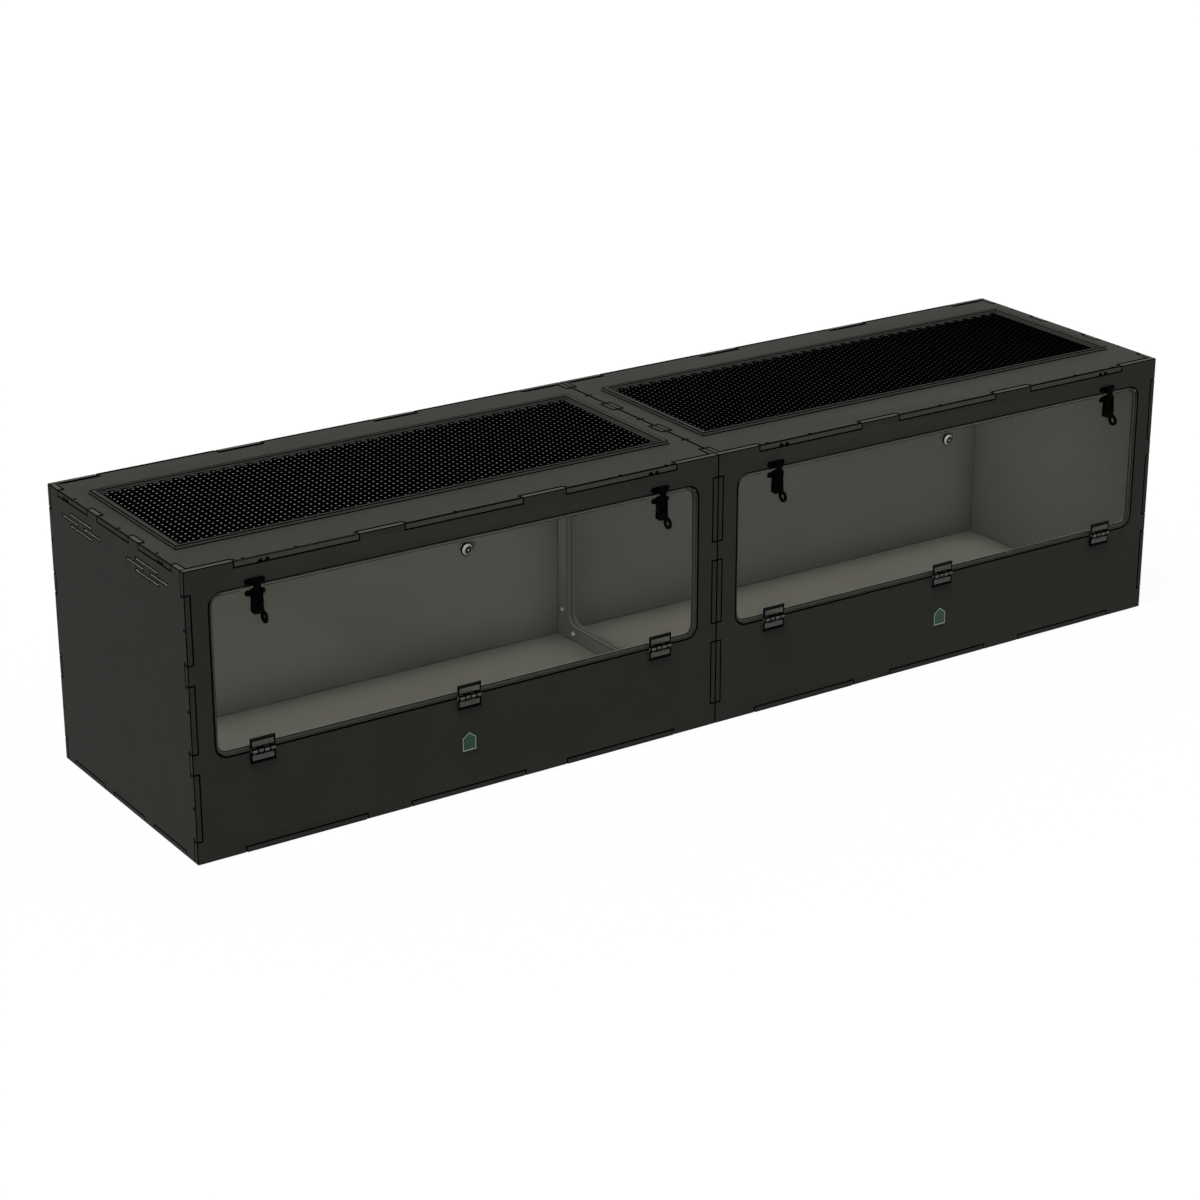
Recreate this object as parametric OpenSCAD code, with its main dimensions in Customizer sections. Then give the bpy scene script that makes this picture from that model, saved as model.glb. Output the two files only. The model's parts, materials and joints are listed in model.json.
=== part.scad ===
// Reptile terrarium: two front-opening enclosures bolted side by side.
// Each enclosure is a box of six finger-jointed sheets with a clear drop-down door in
// front, a perforated screen on top and a passage through to its neighbour.
// Millimetres. +Z is up, the doors face -Y, the origin is at the middle of the footprint.

/* [Enclosure] */
// Length of one enclosure, left to right
module_length = 1219.2; // [1160:0.1:1400]
// Depth of one enclosure, front to back
module_depth = 602; // [585:1:680]
// Height of one enclosure
module_height = 602; // [585:1:680]
// Thickness of the sheets that the six panels are cut from
sheet_t = 12.7; // [10:0.1:15]

/* [Finger joints] */
// Length of each tab along the long edges
long_tab = 269; // [240:1:280]
// Distance from a corner to the first tab on the long edges
long_corner = 105; // [90:1:120]
// Length of each tab along the short edges
short_tab = 140.4; // [125:0.1:146]
// Distance from a corner to the first tab on the short edges
short_corner = 48.4; // [40:0.1:54]
// Width of the round-ended relief in the corner of a notch
relief_d = 6.35; // [3:0.05:8]
// Diameter of the pins that hold the tabs
pin_d = 3; // [2:0.1:4]
// Length of the pins that hold the tabs
pin_length = 28; // [20:1:40]
// Distance from the end of an outer long tab to its first pin
pin_inset = 23; // [15:1:35]
// Distance between the two pins in an outer long tab
pin_spacing = 112; // [80:1:140]
// How far the pin of a middle tab stands off the tab's centre
pin_offset = 18; // [0:1:25]
// How far the pins are sunk below the surface
pin_sink = 0.3; // [0.2:0.1:1]
// Radial clearance round a pin or a bolt-on part
fit_gap = 0.05; // [0.03:0.01:0.08]

/* [Window and door] */
// Distance from the enclosure's end to the window
window_side = 50; // [40:1:70]
// Height of the window's lower edge above the table
window_bottom = 211; // [200:1:230]
// Distance from the window's upper edge up to the enclosure's top
window_drop = 56; // [52:1:80]
// Corner radius of the window
window_r = 27; // [20:1:34]
// Depth of the pocket that the door closes into
pocket_depth = 6.35; // [6.2:0.05:7]
// Width of the lip that the closed door rests on
lip_w = 9; // [6:0.5:10]
// Corner radius of the opening inside the lip
lip_r = 18; // [12:1:22]
// Width of the gap in the lip behind each latch
lip_gap_w = 50; // [46:1:60]
// Thickness of the clear door
door_t = 6; // [5:0.1:6.1]
// Gap round the edge of the door
door_gap = 1; // [0.6:0.1:1.4]

/* [Hinges] */
// Width of a hinge along its pin
hinge_w = 52; // [44:1:60]
// Height of a hinge across both leaves
hinge_h = 50.5; // [44:0.5:58]
// Thickness of a hinge leaf
leaf_t = 6; // [3:0.1:6.2]
// Diameter of the hinge barrel
barrel_d = 11.6; // [11:0.1:11.8]
// Diameter of the hinge pin
hinge_pin_d = 5; // [3:0.1:6]
// Gap between neighbouring knuckles
knuckle_gap = 0.4; // [0.3:0.05:0.8]
// Distance from the enclosure's end to the outer hinges and to the latches
hardware_inset = 146.7; // [120:0.1:180]

/* [Latches] */
// Width of a keeper and of a latch's wings
wing_w = 44; // [38:1:48]
// Height of a keeper and of a latch's wings
wing_h = 12; // [10:0.5:13]
// Thickness of the latch's base plate
plate_t = 2.5; // [2:0.1:3]
// Outer width of the latch lever
lever_w = 20; // [19:0.5:24]
// Distance from the lever's pivot down to the lever's end
lever_reach = 37.5; // [34:0.5:42]
// Wall of the lever's channel
lever_wall = 1.6; // [1:0.1:1.8]
// Width of the hook between the lever's cheeks
hook_w = 10; // [7:0.5:10.5]
// Width of the hook above the cheeks
hook_head_w = 15; // [10:0.5:16]
// Diameter of the lever's and the hook's pivots
pivot_d = 4; // [3:0.1:4.5]
// Outer diameter of the padlock eye
eye_outer_d = 22.8; // [20:0.1:26]
// Diameter of the hole in the padlock eye
eye_hole_d = 13.6; // [8:0.1:15]
// Thickness of the padlock eye
eye_t = 3; // [2:0.1:4]

/* [Lock] */
// Diameter of the lock's face ring
lock_head_d = 24.5; // [21:0.5:26]
// Diameter of the lock's front end
lock_front_d = 18; // [16:0.5:20]
// Height of the lock's head in front of the door
lock_head_h = 8; // [4:0.5:10]
// Distance from the door's middle to the lock
lock_side = 3; // [0:0.5:20]
// Diameter of the lock's barrel through the door
lock_barrel_d = 18.8; // [16:0.1:19]
// Distance from the window's upper edge down to the lock
lock_drop = 25; // [22:0.5:34]
// Width of the lock's cam
cam_w = 17; // [14:0.5:18]
// Distance from the lock's centre to the cam's tip
cam_reach = 31; // [28:1:36]
// Width across the flats of the lock's nut
lock_nut_af = 22; // [21:0.1:24]

/* [Screens] */
// Distance from the enclosure's end to the screen frame
screen_side = 44; // [30:1:70]
// Distance from the enclosure's front to the screen frame
screen_front = 116.4; // [100:0.1:140]
// Distance from the enclosure's back to the screen frame
screen_back = 102.2; // [90:0.1:140]
// Width of the screen frame's members
screen_member = 12.7; // [8:0.1:20]
// Height of the screen frame above the top panel
screen_rise = 6.35; // [4:0.05:10]
// Thickness of the perforated sheet
screen_t = 3; // [1.5:0.1:4]
// How far the perforated sheet reaches under the frame
screen_hold = 6.5; // [4:0.1:8]
// Width of the ledge that carries the perforated sheet
screen_ledge = 11.5; // [10:0.1:16]
// Distance between the perforated sheet's holes
screen_pitch = 28; // [24:1:40]
// Diameter of the perforated sheet's holes
screen_hole_d = 12; // [8:0.5:16]

/* [Lead grooves] */
// Width of each groove for a lamp's or a probe's lead
groove_w = 7; // [5:0.5:10]
// Height of the grooves
groove_h = 6.2; // [5:0.1:8]
// Distance between the two grooves of a pair
groove_spacing = 14.8; // [12:0.1:30]
// Distance from the enclosure's left end to the first pair on a long edge
groove_left = 168.2; // [145:0.1:220]
// Distance from the enclosure's right end to the second pair on a long edge
groove_right = 161.5; // [145:0.1:220]
// Distance from the enclosure's front to the first pair on a short edge
groove_front = 93; // [75:0.1:100]
// Distance from the enclosure's back to the second pair on a short edge
groove_back = 87.4; // [75:0.1:100]

/* [Vents] */
// Height of a vent slot
slot_h = 5; // [3:0.5:6]
// Length of the upper and lower vent slots
slot_long = 100; // [80:1:110]
// Length of the middle vent slots
slot_short = 75; // [50:1:85]
// Distance from the enclosure's top to the first row of slots
slot_top = 35; // [30:1:50]
// Distance between rows of slots
slot_row = 12; // [9:0.5:16]
// Distance from the enclosure's middle to each group of slots
slot_group = 147; // [110:1:160]
// Distance between the centres of the two middle slots
slot_split = 102.4; // [95:0.1:120]

/* [Passage] */
// Width of the passage's rim at the front and back
passage_side = 48.4; // [44:0.1:80]
// Width of the passage's rim at the top and bottom
passage_rim = 45; // [43:1:80]
// Corner radius of the passage
passage_r = 25; // [15:1:60]
// Shank diameter of the bolts that join the enclosures
bolt_d = 5; // [4:0.1:6]
// Head diameter of the joining bolts
bolt_head_d = 9; // [8:0.1:10]
// Head height of the joining bolts
bolt_head_h = 3; // [2:0.1:5]
// Width across the flats of the joining nuts
nut_af = 8; // [7:0.1:10]
// Height of the joining nuts
nut_h = 4; // [3:0.1:5]
// Distance from a bolt to the nearer edge of the panel
bolt_near = 31; // [28:1:36]
// Distance from a bolt to the further edge of the panel
bolt_far = 76; // [60:1:120]

/* [Badge] */
// Width of the badge
badge_w = 31.5; // [20:0.5:50]
// Height of the badge up to its peak
badge_h = 40; // [25:1:60]
// Height of the badge's straight sides
badge_side = 28; // [15:1:40]
// Thickness of the badge
badge_t = 2.5; // [1.5:0.1:4]
// Height of the badge's lower edge above the table
badge_z = 91; // [50:1:120]

/* [Hidden] */
SIDES = ["left", "right"];

$fn = 48;
eps = 1;                               // overhang of a cutting tool past a face
rest_gap = 0.3;                        // gap between pieces that rest on each other
tab_count = 3;

// Enclosure
window_top = module_height - window_drop;
window_height = window_top - window_bottom;
window_length = module_length - 2 * window_side;
middle_x = module_length / 2;
long_gap = (module_length - 2 * long_corner - tab_count * long_tab) / (tab_count - 1);

function module_x(side) = side == "left" ? -module_length : 0;
function short_gap(total) = (total - 2 * short_corner - tab_count * short_tab) / (tab_count - 1);
// Start of each tab along an edge
function long_starts() = [for (i = [0 : tab_count - 1]) long_corner + i * (long_tab + long_gap)];
function short_starts(total) =
  [for (i = [0 : tab_count - 1]) short_corner + i * (short_tab + short_gap(total))];
// Start and end of each stretch between the tabs, corners included
function stretches(starts, tab, total) =
  [for (i = [0 : len(starts)])
    [i == 0 ? -eps : starts[i - 1] + tab, i == len(starts) ? total + eps : starts[i]]];

// Hinges
hinge_xs = [hardware_inset, middle_x, module_length - hardware_inset];
hinge_z = window_bottom + door_gap / 2;
hinge_y = -(barrel_d / 2 + 0.2);       // the barrel's axis, just clear of the front face
knuckle_count = 4;
leaf_edge = 2.6;                       // the slope along each leaf's free edge
knuckle_w = (hinge_w - (knuckle_count - 1) * knuckle_gap) / knuckle_count;

// Latches: heights are measured from the window's upper edge
latch_xs = [hardware_inset, module_length - hardware_inset];
pivot = [-9.5, -14];                   // the lever's pivot on the base, [y, z]
hook_pivot = [-8, -28];                // the hook's pivot on the lever, [y, z]
pivot_hole_d = pivot_d + 2 * fit_gap;
lever_face_y = -15;
lever_face_t = 1.8;
lever_end_z = pivot[1] - lever_reach;
lever_face_top = hook_pivot[1] - 9;    // the face stops here, so that the hook can swing
cheek_gap = 0.3;
cheek_x = lever_w / 2 - lever_wall - cheek_gap;
cheek_w = 1.7;
cheek_r = 5;
keeper_z = wing_h / 2 + 4;
wing_z = pivot[1] + 0.8;
ridge_r = 2.6;
ridge_front = -8;
ridge_top = keeper_z;
claw_t = 4;
hook_back = ridge_front - 0.6;
hook_t = 4.2;
hook_head_z = pivot[1] + cheek_r + 0.8; // the wide head starts clear of the cheeks
claw_tip = -plate_t - 0.7;
eye_x = lever_w / 2 + 0.4;             // inner face of the padlock flange
eye_y = -eye_outer_d / 2 - 0.6;
eye_z = lever_end_z - eye_outer_d / 2 - 0.2;
flange_y = -7;

// Lock: the barrel runs along Y
lock_x = middle_x + lock_side;
lock_z = window_top - lock_drop;
plug_d = 12;
plug_hole_d = plug_d + 2 * fit_gap;
barrel_back = 15.5;
cam_t = 2.5;
cam_front = barrel_back + 0.8;
lock_nut_h = 5;
tail_d = 8;

// Passage bolts, [y, z] from the panel's corner
bolt_points = [for (yz = [[bolt_near, bolt_far], [bolt_far, bolt_near]], fy = [0, 1], fz = [0, 1])
  [fy == 0 ? yz[0] : module_depth - yz[0], fz == 0 ? yz[1] : module_height - yz[1]]];

panel_colour = [0.21, 0.21, 0.20];
clear_colour = [0.70, 0.74, 0.70, 0.35];
steel_colour = [0.42, 0.42, 0.40];
black_colour = [0.05, 0.05, 0.05];
chrome_colour = [0.80, 0.79, 0.76];

// ---------------------------------------------------------------- helpers

// An outline drawn in X and Z, as a sheet from y0 to y0 + t
module upright(y0, t) translate([0, y0 + t, 0]) rotate([90, 0, 0]) linear_extrude(t) children();

// An outline drawn in Y and Z, as a sheet from x0 to x0 + t
module sideways(x0, t) translate([x0, 0, 0]) rotate([90, 0, 90]) linear_extrude(t) children();

// A cylinder along Y from y0 to y1
module rod_y(d, y0, y1) translate([0, y1, 0]) rotate([90, 0, 0]) cylinder(d = d, h = y1 - y0);

// A cylinder along X from x0 to x1
module rod_x(d, x0, x1) translate([x0, 0, 0]) rotate([0, 90, 0]) cylinder(d = d, h = x1 - x0);

// A rectangle with round corners, its lower left corner at the origin
module rounded(w, h, r) {
  translate([r, 0]) square([w - 2 * r, h]);
  translate([0, r]) square([w, h - 2 * r]);
  for (x = [r, w - r], y = [r, h - r]) translate([x, y]) circle(r);
}

// A bar with round ends, centred on the origin
module round_bar(w, h) {
  square([w - h, h], center = true);
  for (x = [-1, 1]) translate([x * (w - h) / 2, 0]) circle(d = h);
}

// ---------------------------------------------------------------- panels

// Notches along the lower edge of an outline: the stretches between this panel's own tabs
module notches(starts, tab, total, relieved)
  for (s = stretches(starts, tab, total)) {
    translate([s[0], -eps]) square([s[1] - s[0], sheet_t + eps]);
    if (relieved) for (e = [0, 1])
      if (s[e] > 0 && s[e] < total) translate([s[e], sheet_t - relief_d / 2])
        mirror([1 - e, 0]) {
          translate([-eps, -relief_d / 2]) square([relief_d / 2 + eps, relief_d]);
          translate([relief_d / 2, 0]) circle(d = relief_d);
        }
  }

// Notches for another panel's tabs along the lower edge of an outline
module tab_notches(starts, tab)
  for (s = starts) translate([s, -eps]) square([tab, sheet_t + eps]);

// Repeats an edge's notches on the opposite edge of an outline of height h
module both_edges(h) {
  children();
  translate([0, h]) mirror([0, 1]) children();
}

// Turns notches of the lower edge on to the left edge
module stand_up() mirror([1, -1]) children();

// Floor and top: their tabs show on all four upright faces
module deck_outline()
  difference() {
    square([module_length, module_depth]);
    both_edges(module_depth) notches(long_starts(), long_tab, module_length, true);
    translate([module_length, 0]) mirror([1, 0]) stand_up()
      notches(short_starts(module_depth), short_tab, module_depth, true);
    stand_up() notches(short_starts(module_depth), short_tab, module_depth, true);
  }

// Front and back: they hold the corners
module face_outline()
  difference() {
    square([module_length, module_height]);
    both_edges(module_height) tab_notches(long_starts(), long_tab);
    stand_up() tab_notches(short_starts(module_height), short_tab);
    translate([module_length, 0]) mirror([1, 0]) stand_up()
      tab_notches(short_starts(module_height), short_tab);
  }

// Sides: their tabs show on the front and the back
module side_outline()
  difference() {
    square([module_depth, module_height]);
    both_edges(module_height) tab_notches(short_starts(module_depth), short_tab);
    stand_up() notches(short_starts(module_height), short_tab, module_height, true);
    translate([module_depth, 0]) mirror([1, 0]) stand_up()
      notches(short_starts(module_height), short_tab, module_height, true);
  }

// Where the pins go in along a long and a short edge
function long_pins() = let (a = long_starts()[0], b = long_starts()[tab_count - 1] + long_tab)
  [a + pin_inset, a + pin_inset + pin_spacing, middle_x - pin_offset,
   b - pin_inset - pin_spacing, b - pin_inset];
function short_pins(total, offset) =
  [for (i = [0 : tab_count - 1]) short_starts(total)[i] + short_tab / 2 + (i == 1 ? offset : 0)];

// Every pin of one enclosure, sunk a little below the outer faces
module pin_set(d, sink) {
  h = pin_length - 2 * sink;
  for (z = [sink, module_height - pin_length + sink]) {
    for (x = long_pins(), y = [sheet_t / 2, module_depth - sheet_t / 2])
      translate([x, y, z]) cylinder(d = d, h = h);
    for (y = short_pins(module_depth, -pin_offset), x = [sheet_t / 2, module_length - sheet_t / 2])
      translate([x, y, z]) cylinder(d = d, h = h);
  }
  for (x = [sink, module_length - pin_length + sink], y = [sheet_t / 2, module_depth - sheet_t / 2])
    for (z = short_pins(module_height, pin_offset))
      translate([x, y, z]) rod_x(d, 0, h);
}
module pin_holes() pin_set(pin_d + 2 * fit_gap, -fit_gap);

module floor_panel()
  color(panel_colour) difference() {
    linear_extrude(sheet_t) deck_outline();
    pin_holes();
  }

// The screen's opening, its pocket and its frame share one centre
screen_length = module_length - 2 * screen_side;
screen_depth = module_depth - screen_front - screen_back;
screen_in = screen_member - screen_hold;          // pocket edge inside the frame's outer edge
ledge_in = screen_in + screen_ledge;              // opening edge inside the frame's outer edge
module screen_area(inset)
  translate([screen_side + inset, screen_front + inset])
    square([screen_length - 2 * inset, screen_depth - 2 * inset]);

// Two pairs of round-topped grooves along the lower side of an edge
module groove_pairs(first, last, total)
  for (x = [first, total - last], s = [-1, 1]) translate([x + s * groove_spacing / 2, 0]) {
    translate([-groove_w / 2, -eps]) square([groove_w, groove_h - groove_w / 2 + eps]);
    translate([0, groove_h - groove_w / 2]) circle(d = groove_w);
  }

// Grooves that let leads into the box under the tabs of the three free edges
groove_reach = sheet_t + 8;
module lead_grooves(side) {
  for (y = [-eps, module_depth - groove_reach])
    upright(y, groove_reach + eps) groove_pairs(groove_left, groove_right, module_length);
  sideways(side == "left" ? -eps : module_length - groove_reach, groove_reach + eps)
    groove_pairs(groove_front, groove_back, module_depth);
}

module top_panel(side)
  color(panel_colour) translate([0, 0, module_height - sheet_t]) difference() {
    linear_extrude(sheet_t) deck_outline();
    translate([0, 0, -eps]) linear_extrude(sheet_t + 2 * eps) screen_area(ledge_in);
    translate([0, 0, sheet_t - screen_t]) linear_extrude(screen_t + eps) screen_area(screen_in);
    translate([0, 0, sheet_t - module_height]) pin_holes();
    lead_grooves(side);
  }

// The window's outline, inset evenly from the pocket's edge
module window_outline(inset, r)
  translate([window_side + inset, window_bottom + inset])
    rounded(window_length - 2 * inset, window_height - 2 * inset, r);

module front_panel()
  color(panel_colour) difference() {
    upright(0, sheet_t) face_outline();
    upright(-eps, pocket_depth + eps) window_outline(0, window_r);
    upright(0, sheet_t + eps) window_outline(lip_w, lip_r);
    for (x = latch_xs)
      upright(0, sheet_t + eps) translate([x - lip_gap_w / 2, window_top - 2 * lip_w])
        square([lip_gap_w, 2 * lip_w]);
    pin_holes();
  }

module back_panel()
  color(panel_colour) difference() {
    upright(module_depth - sheet_t, sheet_t) face_outline();
    pin_holes();
  }

// Two groups of four round-ended slots near the top
module vent_slots()
  for (y = [module_depth / 2 - slot_group, module_depth / 2 + slot_group])
    translate([y, module_height - slot_top]) {
      for (row = [0, 2]) translate([0, -row * slot_row]) round_bar(slot_long, slot_h);
      for (s = [-1, 1]) translate([s * slot_split / 2, -slot_row]) round_bar(slot_short, slot_h);
    }

module outer_side_panel(x)
  color(panel_colour) difference() {
    sideways(x, sheet_t) difference() {
      side_outline();
      vent_slots();
    }
    pin_holes();
  }

module inner_side_panel(x)
  color(panel_colour) difference() {
    sideways(x, sheet_t) difference() {
      side_outline();
      translate([passage_side, passage_rim]) rounded(module_depth - 2 * passage_side,
        module_height - 2 * passage_rim, passage_r);
    }
    for (p = bolt_points) translate([x, p[0], p[1]])
      rod_x(bolt_d + 4 * fit_gap, -eps, sheet_t + eps);
    pin_holes();
  }

// ---------------------------------------------------------------- screens

module screen_frame()
  color(panel_colour) translate([0, 0, module_height]) linear_extrude(screen_rise)
    difference() {
      screen_area(0);
      screen_area(screen_member);
    }

// Staggered holes on a grid of equal triangles, centred in the frame
column_step = screen_pitch * sqrt(3) / 2;
hole_border = screen_member - screen_in + screen_hole_d;
columns = floor((screen_length - 2 * (screen_in + hole_border)) / column_step);
rows = floor((screen_depth - 2 * (screen_in + hole_border)) / screen_pitch - 0.5);
module screen_holes()
  translate([screen_side + screen_length / 2, screen_front + screen_depth / 2])
    for (i = [0 : columns], j = [0 : rows])
      translate([(i - columns / 2) * column_step,
                 (j - rows / 2 + (i % 2 == 0 ? 0.25 : -0.25)) * screen_pitch])
        circle(d = screen_hole_d, $fn = 24);

sheet_fit = 0.3;
module screen_sheet()
  color(black_colour) translate([0, 0, module_height - screen_t]) linear_extrude(screen_t)
    difference() {
      screen_area(screen_in + sheet_fit);
      screen_holes();
    }

// ---------------------------------------------------------------- doors and hinges

module door()
  color(clear_colour) difference() {
    upright(0, door_t) window_outline(door_gap, window_r - door_gap);
    translate([lock_x, 0, lock_z]) rod_y(lock_barrel_d + 4 * fit_gap, -eps, door_t + eps);
  }

// One leaf, above the pin, with every other knuckle from first; at the hinge's own origin
module hinge_leaf(first) {
  start = barrel_d / 2 + 0.6;
  difference() {
    union() {
      sideways(-hinge_w / 2, hinge_w) polygon([[0, start], [-leaf_t, start],
        [-leaf_t, hinge_h / 2 - leaf_edge], [leaf_edge - leaf_t, hinge_h / 2], [0, hinge_h / 2]]);
      for (i = [first : 2 : knuckle_count - 1])
        translate([-hinge_w / 2 + i * (knuckle_w + knuckle_gap), 0, 0]) {
          translate([0, hinge_y, 0]) rod_x(barrel_d, 0, knuckle_w);
          translate([0, -leaf_t, 0]) cube([knuckle_w, leaf_t, start + eps]);
        }
    }
    translate([0, hinge_y, 0]) rod_x(hinge_pin_d + 2 * fit_gap, -hinge_w, hinge_w);
  }
}

module frame_leaf(i) color(steel_colour)
  translate([hinge_xs[i], 0, hinge_z]) mirror([0, 0, 1]) hinge_leaf(0);
module door_leaf(i) color(steel_colour) translate([hinge_xs[i], 0, hinge_z]) hinge_leaf(1);

module hinge_pins() color(chrome_colour)
  for (side = SIDES, x = hinge_xs)
    translate([module_x(side) + x, hinge_y - module_depth / 2, hinge_z])
      rod_x(hinge_pin_d, -hinge_w / 2, hinge_w / 2);

// ---------------------------------------------------------------- latches

module at_latch(i) translate([latch_xs[i], 0, window_top]) children();

// Plate with round ends and a ridge that the hook's claw pulls down on
module keeper(i) color(black_colour) at_latch(i) {
  upright(-plate_t, plate_t) translate([0, keeper_z]) round_bar(wing_w, wing_h);
  sideways(-7, 14) {
    translate([ridge_front + ridge_r, ridge_top - 2 * ridge_r])
      square([-ridge_front - ridge_r - plate_t + 0.5, 2 * ridge_r]);
    translate([ridge_front + ridge_r, ridge_top - ridge_r]) circle(ridge_r);
  }
}

// Base plate with wings, two cheeks for the lever's pivot and a flange with the padlock eye
module latch_base(i) color(black_colour) at_latch(i) difference() {
  union() {
    upright(-plate_t, plate_t) {
      translate([0, wing_z]) round_bar(wing_w, wing_h);
      translate([-lever_w / 2, lever_end_z])
        square([lever_w / 2 + eye_x + eye_t, pivot[1] + 9 - lever_end_z]);
    }
    for (s = [0, 1]) mirror([s, 0, 0]) sideways(cheek_x - cheek_w, cheek_w) {
      translate([pivot[0], pivot[1] - cheek_r]) square([-pivot[0] - 0.5, 2 * cheek_r]);
      translate(pivot) circle(cheek_r);
    }
    translate([0, pivot[0], pivot[1]]) {
      rod_x(pivot_d, cheek_x - 0.5, eye_x + 0.5);
      rod_x(pivot_d, -lever_w / 2 - 0.3, 0.5 - cheek_x);
    }
    sideways(eye_x, eye_t) {
      translate([flange_y, eye_z]) square([-flange_y, pivot[1] + 9 - eye_z]);
      translate([eye_y, eye_z]) circle(d = eye_outer_d);
    }
  }
  translate([0, eye_y, eye_z]) rod_x(eye_hole_d, eye_x - eps, eye_x + eye_t + eps);
}

// Channel that turns on the base and carries the hook's cross pin
module latch_lever(i) color(black_colour) at_latch(i) difference() {
  union() {
    for (x = [-lever_w / 2, lever_w / 2 - lever_wall]) sideways(x, lever_wall) {
      translate([lever_face_y, lever_end_z])
        square([2 * (pivot[0] - lever_face_y) - 0.2, lever_reach]);
      translate(pivot) circle(pivot[0] - lever_face_y - 0.1);
    }
    translate([-lever_w / 2, lever_face_y, lever_end_z])
      cube([lever_w, lever_face_t, lever_face_top - lever_end_z]);
    translate([0, lever_face_y - 0.4, lever_end_z + 1.5])
      rod_x(3, -lever_w / 2, lever_w / 2);
    translate([0, hook_pivot[0], hook_pivot[1]]) rod_x(pivot_d, -lever_w / 2, lever_w / 2);
  }
  translate([0, pivot[0], pivot[1]]) rod_x(pivot_hole_d, -lever_w, lever_w);
}

// Bar from the lever's cross pin up to the claw that reaches over the keeper's ridge
module latch_hook(i) color(black_colour) at_latch(i) difference() {
  union() {
    sideways(-hook_w / 2, hook_w) {
      translate(hook_pivot) circle(4);
      translate([hook_back - hook_t, hook_pivot[1]])
        square([hook_t, hook_head_z + 1 - hook_pivot[1]]);
    }
    sideways(-hook_head_w / 2, hook_head_w) {
      translate([hook_back - hook_t, hook_head_z])
        square([hook_t, ridge_top + rest_gap + claw_t - hook_head_z]);
      translate([hook_back - hook_t, ridge_top + rest_gap])
        square([claw_tip - hook_back + hook_t, claw_t]);
    }
  }
  translate([0, hook_pivot[0], hook_pivot[1]]) rod_x(pivot_hole_d, -hook_w, hook_w);
}

// ---------------------------------------------------------------- locks

module at_lock() translate([lock_x, 0, lock_z]) children();

// A solid of revolution about Y; the outline's second axis runs along +Y
module turned_y() rotate([-90, 0, 0]) rotate_extrude() children();

module lock_body() color(chrome_colour) at_lock() turned_y() {
  r_in = plug_hole_d / 2;
  r_front = lock_front_d / 2;
  r_head = lock_head_d / 2;
  r_barrel = lock_barrel_d / 2;
  polygon([[r_in, 1 - lock_head_h], [r_in + 0.8, -lock_head_h], [r_front - 0.6, -lock_head_h],
    [r_front, 0.6 - lock_head_h], [r_head, -1.2], [r_head, 0], [r_barrel, 0],
    [r_barrel, barrel_back], [r_in, barrel_back]]);
}

module lock_nut() color(steel_colour) at_lock() difference() {
  translate([0, door_t + lock_nut_h, 0]) rotate([90, 0, 0])
    cylinder(d = lock_nut_af / cos(30), h = lock_nut_h, $fn = 6);
  rod_y(lock_barrel_d + 2 * fit_gap, 0, door_t + lock_nut_h + eps);
}

// Plug with its round keyway in front and the cam's tail and screw head behind
module lock_plug() color(steel_colour) at_lock() difference() {
  union() {
    rod_y(plug_d, -lock_head_h + 1.8, cam_front);
    rod_y(tail_d, cam_front - eps, cam_front + cam_t);
    rod_y(tail_d + 3, cam_front + cam_t, cam_front + cam_t + 2);
  }
  turned_y() translate([2.4, -lock_head_h]) square([2, 7]);
  translate([-0.8, -lock_head_h, 4]) cube([1.6, 4, 1.6]);
}

// Cam turned aside, as in an unlocked lock; turned up it stands behind the window's lip
module lock_cam() color(steel_colour) at_lock() difference() {
  upright(cam_front, cam_t) {
    circle(d = cam_w + 1);
    translate([0, -cam_w / 2]) square([cam_reach - cam_w / 2, cam_w]);
    translate([cam_reach - cam_w / 2, 0]) circle(d = cam_w);
  }
  rod_y(tail_d + 2 * fit_gap, 0, cam_front + cam_t + eps);
}

// ---------------------------------------------------------------- badges and fasteners

// A plain house-shaped outline, inset evenly
module badge_outline(inset) {
  x = badge_w / 2 - inset;
  slope = 2 * (badge_h - badge_side) / badge_w;
  down = inset * sqrt(1 + slope * slope);
  shoulder = badge_side + inset * slope - down;
  polygon([[-x, inset], [x, inset], [x, shoulder], [0, badge_h - down], [-x, shoulder]]);
}

// Plain plate with a raised rim
badge_rim_w = 2.2;
badge_rim_h = 0.8;
module badge() color("darkgreen") translate([middle_x, 0, badge_z]) {
  upright(badge_rim_h - badge_t, badge_t - badge_rim_h) badge_outline(0);
  upright(-badge_t, badge_t) difference() {
    badge_outline(0);
    badge_outline(badge_rim_w);
  }
}

module at_bolts() for (p = bolt_points) translate([0, p[0] - module_depth / 2, p[1]]) children();

module joining_bolts() color(chrome_colour) at_bolts() {
  rod_x(bolt_head_d, -sheet_t - bolt_head_h, -sheet_t);
  rod_x(bolt_d, -sheet_t - eps, sheet_t + nut_h + 1);
}

module joining_nuts() color(chrome_colour) at_bolts() difference() {
  translate([sheet_t, 0, 0]) rotate([0, 90, 0]) cylinder(d = nut_af / cos(30), h = nut_h, $fn = 6);
  rod_x(bolt_d + 2 * fit_gap, sheet_t - eps, sheet_t + nut_h + eps);
}

module panel_pins() color(black_colour)
  for (side = SIDES) translate([module_x(side), -module_depth / 2, 0]) pin_set(pin_d, pin_sink);

// ---------------------------------------------------------------- drawing

// Draws one enclosure's piece in its place
module piece(side, name)
  translate([module_x(side), -module_depth / 2, 0]) children();

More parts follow.
